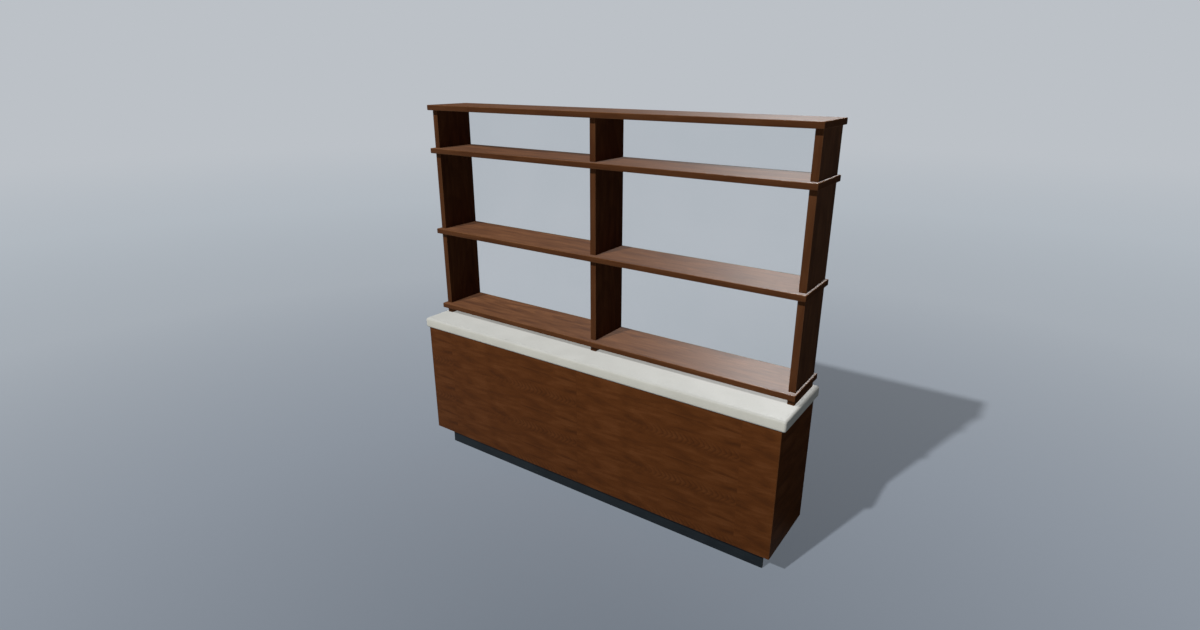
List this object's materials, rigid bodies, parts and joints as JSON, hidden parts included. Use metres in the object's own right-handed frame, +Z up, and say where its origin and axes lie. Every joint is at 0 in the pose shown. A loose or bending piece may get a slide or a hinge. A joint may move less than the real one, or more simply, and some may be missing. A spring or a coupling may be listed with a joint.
{
  "type": "back bar shelving",
  "caption": "Long back bar: a closed dark-wood base cabinet on a set-back plinth, a thick pale counter and a stack of wide shelves on uprights, backed with mirror, for bottles and glasses.",
  "frame": {"origin": "on the floor, under the middle of the counter", "axes": "+X along the counter to the right of someone facing the front, +Y from the front to the back, +Z up"},
  "size_m": [2.4, 0.465, 2.22],
  "materials": {
    "walnut": "dark walnut, stained and lacquered to a satin",
    "walnut_veneer": "dark walnut veneer with the grain running along the cabinet, satin lacquer",
    "carcass_board": "dark faced carcass board",
    "plywood": "raw birch plywood",
    "softwood": "planed softwood",
    "solid_surface": "off-white cast solid surface, sanded to a soft satin",
    "plinth_laminate": "board faced with dark slate laminate",
    "mirror": "silvered float glass, etched to a satin, with ground edges",
    "zinc_steel": "zinc-plated",
    "black_nylon": "moulded"
  },
  "bodies": {
    "back_bar": {"plinth_front": "plinth_laminate", "plinth_back": "plinth_laminate", "plinth_left_end": "plinth_laminate", "plinth_right_end": "plinth_laminate", "plinth_bearer_left": "softwood", "plinth_bearer_centre": "softwood", "plinth_bearer_right": "softwood", "cabinet_bottom": "carcass_board", "cabinet_front": "walnut_veneer", "cabinet_left_end": "walnut_veneer", "cabinet_right_end": "walnut_veneer", "cabinet_back": "walnut_veneer", "cabinet_partition_left": "carcass_board", "cabinet_partition_right": "carcass_board", "cabinet_front_rail": "carcass_board", "cabinet_back_rail": "carcass_board", "counter_core": "plywood", "counter_shell": "solid_surface", "spacer_left": "walnut", "spacer_centre": "walnut", "spacer_right": "walnut", "upright_lower_left": "walnut", "upright_lower_centre": "walnut", "upright_lower_right": "walnut", "upright_middle_left": "walnut", "upright_middle_centre": "walnut", "upright_middle_right": "walnut", "upright_upper_left": "walnut", "upright_upper_centre": "walnut", "upright_upper_right": "walnut", "shelf_lower": "walnut", "shelf_middle": "walnut", "shelf_upper": "walnut", "top_board": "walnut", "mirror_lower_left": "mirror", "mirror_lower_right": "mirror", "mirror_backing_lower": "carcass_board", "mirror_middle_left": "mirror", "mirror_middle_right": "mirror", "mirror_backing_middle": "carcass_board", "mirror_upper_left": "mirror", "mirror_upper_right": "mirror", "mirror_backing_upper": "carcass_board", "tie_bolt_left": "zinc_steel", "tie_bolt_centre": "zinc_steel", "tie_bolt_right": "zinc_steel", "tie_nut_left": "zinc_steel", "tie_nut_centre": "zinc_steel", "tie_nut_right": "zinc_steel", "top_plug_left": "walnut", "top_plug_centre": "walnut", "top_plug_right": "walnut"},
    "foot_left_front": {"levelling_foot_left_front": "black_nylon"},
    "foot_left_back": {"levelling_foot_left_back": "black_nylon"},
    "foot_centre_front": {"levelling_foot_centre_front": "black_nylon"},
    "foot_centre_back": {"levelling_foot_centre_back": "black_nylon"},
    "foot_right_front": {"levelling_foot_right_front": "black_nylon"},
    "foot_right_back": {"levelling_foot_right_back": "black_nylon"}
  },
  "joints": [
    {"name": "foot_turn_left_front", "type": "hinge", "parent": "back_bar", "child": "foot_left_front", "pos_m": [-1.032, -0.0795, 0], "axis": [0, 0, 1], "range_deg": [-3510, 630]},
    {"name": "foot_turn_left_back", "type": "hinge", "parent": "back_bar", "child": "foot_left_back", "pos_m": [-1.032, 0.1395, 0], "axis": [0, 0, 1], "range_deg": [-3510, 630]},
    {"name": "foot_turn_centre_front", "type": "hinge", "parent": "back_bar", "child": "foot_centre_front", "pos_m": [0, -0.0795, 0], "axis": [0, 0, 1], "range_deg": [-3510, 630]},
    {"name": "foot_turn_centre_back", "type": "hinge", "parent": "back_bar", "child": "foot_centre_back", "pos_m": [0, 0.1395, 0], "axis": [0, 0, 1], "range_deg": [-3510, 630]},
    {"name": "foot_turn_right_front", "type": "hinge", "parent": "back_bar", "child": "foot_right_front", "pos_m": [1.032, -0.0795, 0], "axis": [0, 0, 1], "range_deg": [-3510, 630]},
    {"name": "foot_turn_right_back", "type": "hinge", "parent": "back_bar", "child": "foot_right_back", "pos_m": [1.032, 0.1395, 0], "axis": [0, 0, 1], "range_deg": [-3510, 630]}
  ]
}
